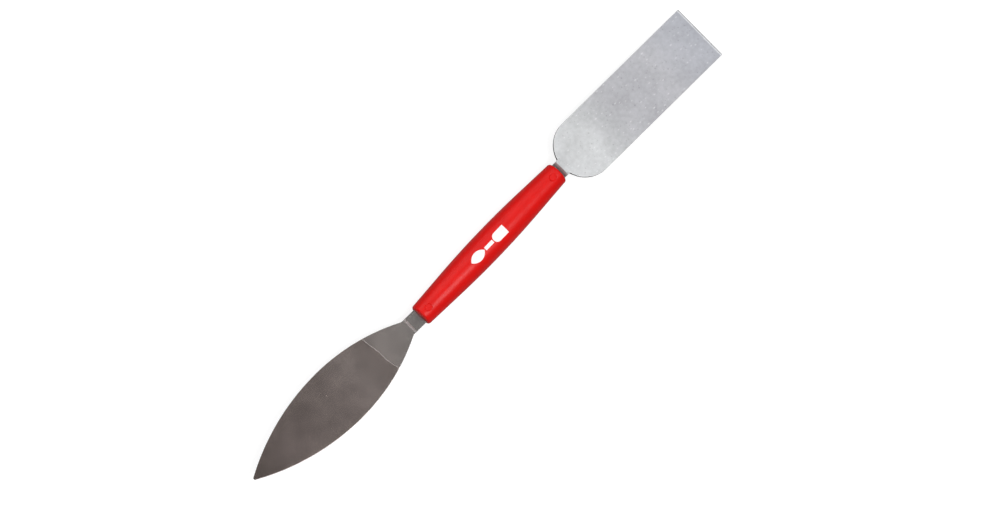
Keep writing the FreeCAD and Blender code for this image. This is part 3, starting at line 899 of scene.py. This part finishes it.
def red_plastic():
    """Satin moulded plastic, faintly uneven, with light scuffs."""
    material, tree, shader = new_material("moulded_red_plastic")
    vector = own_place(tree, Matrix.Translation(HANDLE_CENTRE))
    waves = effect(tree, CLOUDS, Vector=vector, Per_mm=0.12, Detail=2.0)
    skin = effect(tree, CLOUDS, Vector=vector, Per_mm=1.6, Detail=3.0)
    scuffs = effect(tree, SCRATCHES, Vector=vector, Angle=0.5, Per_mm=1.2, Amount=0.3)
    rubbed = effect(tree, WORN_EDGES, Vector=vector, Reach=0.3 * MM)
    deep, light = (0.63, 0.0028, 0.0014, 1.0), (0.69, 0.0036, 0.0018, 1.0)
    colour = mix(tree, span(tree, waves, -1.0, 1.0), deep, light)
    colour = mix(tree, math_node(tree, "MULTIPLY", scuffs, 0.15), colour, (0.75, 0.10, 0.08, 1.0))
    colour = mix(tree, math_node(tree, "MULTIPLY", rubbed, 0.15), colour, (0.72, 0.06, 0.05, 1.0))
    tree.links.new(colour, shader.inputs["Base Color"])
    rough = scale_and_add(tree, skin, 0.04, 0.36)
    rough = math_node(tree, "ADD", rough, math_node(tree, "MULTIPLY", scuffs, 0.15))
    tree.links.new(rough, shader.inputs["Roughness"])
    height = math_node(tree, "ADD", math_node(tree, "MULTIPLY", waves, 2.5), skin)
    height = math_node(tree, "SUBTRACT", height, math_node(tree, "MULTIPLY", scuffs, 1.0))
    bump = add(tree, "ShaderNodeBump", {"Height": height, "Strength": 1.0, "Distance": 0.01 * MM})
    tree.links.new(bump.outputs[0], shader.inputs["Normal"])
    shader.inputs["Specular IOR Level"].default_value = 0.22
    return material


def white_ink():
    """Printed ink, a little worn, so that the plastic shows through in places."""
    material, tree, shader = new_material("white_ink")
    vector = own_place(tree, Matrix.Translation(HANDLE_CENTRE))
    wear = effect(tree, SPECKS, Vector=vector, Per_mm=2.2, Amount=0.12)
    clouds = effect(tree, CLOUDS, Vector=vector, Per_mm=1.2, Detail=4.0)
    colour = mix(tree, span(tree, clouds, -1.0, 1.0), (0.86, 0.80, 0.79, 1.0), (0.94, 0.90, 0.89, 1.0))
    colour = mix(tree, math_node(tree, "MULTIPLY", wear, 0.5), colour, (0.80, 0.30, 0.27, 1.0))
    tree.links.new(colour, shader.inputs["Base Color"])
    tree.links.new(span(tree, clouds, -1.0, 1.0, 0.42, 0.58), shader.inputs["Roughness"])
    bump = add(tree, "ShaderNodeBump", {"Height": clouds, "Strength": 1.0, "Distance": 0.004 * MM})
    tree.links.new(bump.outputs[0], shader.inputs["Normal"])
    return material


# ---------------------------------------------------------------- studio

def pale_floor():
    """A mid-grey sheet that glows for the camera only, which makes it pale and thins the shadows."""
    leave_edit_mode()
    bpy.ops.mesh.primitive_plane_add(size=FLOOR_SIZE, location=(0, 0, 0))
    floor = bpy.context.object
    floor.name = "floor"
    material, tree, shader = new_material("pale_floor")
    vector = add(tree, "ShaderNodeTexCoord").outputs["Object"]
    noise = add(tree, "ShaderNodeTexNoise", {"Vector": vector, "Scale": 3.0, "Detail": 2.0})
    tree.links.new(mix(tree, noise.outputs["Fac"], grey(0.3), grey(0.32)), shader.inputs["Base Color"])
    seen = add(tree, "ShaderNodeLightPath").outputs["Is Camera Ray"]
    tree.links.new(span(tree, seen, 0.0, 1.0, 0.0, FLOOR_GLOW), shader.inputs["Emission Strength"])
    shader.inputs["Emission Color"].default_value = grey(1.0)
    shader.inputs["Roughness"].default_value = 0.9
    shader.inputs["Specular IOR Level"].default_value = 0.1
    floor.data.materials.append(material)


def softbox(name, direction, width, power):
    """A square area light that faces the tool."""
    data = bpy.data.lights.new(name, "AREA")
    data.shape = "SQUARE"
    data.size = width
    data.energy = power
    light = bpy.data.objects.new(name, data)
    bpy.context.scene.collection.objects.link(light)
    towards = Vector(direction).normalized()
    light.location = HANDLE_CENTRE + towards * LIGHT_DISTANCE
    light.rotation_euler = towards.to_track_quat("Z", "Y").to_euler()


def studio_light():
    """Four boxes round a darker middle, which the flat steel mirrors, and a dim white room."""
    softbox("near_softbox", (0.0, -0.41, 0.91), 0.55, 9.8)
    softbox("far_softbox", (0.0, 0.66, 0.75), 1.2, 7.6)
    softbox("square_end_softbox", (0.62, 0.05, 0.78), 0.62, 2.4)
    softbox("leaf_end_softbox", (-0.82, 0.0, 0.57), 0.62, 3.0)
    world = bpy.data.worlds.new("studio")
    bpy.context.scene.world = world
    world.use_nodes = True
    tree = world.node_tree
    tree.nodes.clear()
    seen = add(tree, "ShaderNodeLightPath").outputs["Is Camera Ray"]
    strength = span(tree, seen, 0.0, 1.0, 0.2, 0.95)
    background = add(tree, "ShaderNodeBackground", {"Color": grey(1.0), "Strength": strength})
    add(tree, "ShaderNodeOutputWorld", {"Surface": background.outputs[0]})


def camera():
    """A long lens almost straight above, tipped a little to the leaf's side, with the tool set aslant."""
    towards = Vector((-math.sin(CAMERA_PITCH), 0, math.cos(CAMERA_PITCH)))
    along = Vector((math.cos(CAMERA_PITCH), 0, math.sin(CAMERA_PITCH)))
    across = Vector((0, 1, 0))
    right = along * math.cos(CAMERA_ROLL) - across * math.sin(CAMERA_ROLL)
    up = along * math.sin(CAMERA_ROLL) + across * math.cos(CAMERA_ROLL)
    framed = HANDLE_CENTRE + right * 5.45 * MM - up * 7.69 * MM
    aim = framed + across * 0.42 * MM - along * 0.44 * MM
    data = bpy.data.cameras.new("camera")
    data.sensor_width = 36
    data.lens = data.sensor_width * CAMERA_DISTANCE / VIEW_WIDTH
    data.clip_end = 100
    seen_from = bpy.data.objects.new("camera", data)
    bpy.context.scene.collection.objects.link(seen_from)
    turn = Matrix((right, up, towards)).transposed().to_4x4()
    seen_from.matrix_world = Matrix.Translation(aim + towards * CAMERA_DISTANCE) @ turn
    bpy.context.scene.camera = seen_from


# ---------------------------------------------------------------- the tool

handle = moulded_handle(red_plastic())
mark = printed_pictogram(white_ink())
leaf = leaf_blade(rolled_leaf_steel_painted_dim_reflection(), ground_leaf_steel_painted_dim_reflection(), burr_steel(), leaf_cut_steel_painted_highlight())
square = square_blade(square_steel(), square_cut_steel_painted_light())

for piece, node, slot in ((handle, "handle_grip", "red_plastic"), (leaf, "leaf_blade", "leaf_steel"),
                          (square, "square_blade", "square_steel")):
    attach(piece, "root")
    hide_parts(node)
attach(mark, "root")

pale_floor()
studio_light()
camera()
bpy.context.scene.view_settings.view_transform = "Standard"
